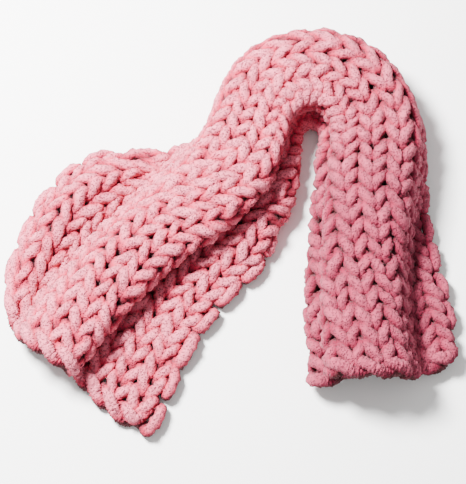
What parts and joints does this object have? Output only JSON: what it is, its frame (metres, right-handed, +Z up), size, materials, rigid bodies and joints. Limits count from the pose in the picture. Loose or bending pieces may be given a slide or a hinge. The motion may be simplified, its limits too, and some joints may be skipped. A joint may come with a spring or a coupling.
{
  "type": "chunky knit blanket",
  "caption": "Throw blanket hand knitted from thick soft chenille yarn, laid out on a floor as a wide flap gathered round a bend into a pleated leg.",
  "frame": {"origin": "centre of the bounding box, on the floor that the blanket lies on", "axes": "+Z up from the floor; +X from the wide flap towards the pleated leg; +Y from the two ends of the blanket towards its bend"},
  "size_m": [0.9485, 0.8644, 0.1344],
  "materials": {
    "chenille": "matt, soft pile yarn"
  },
  "bodies": {
    "root": {"knit_blanket": "chenille"}
  },
  "joints": []
}
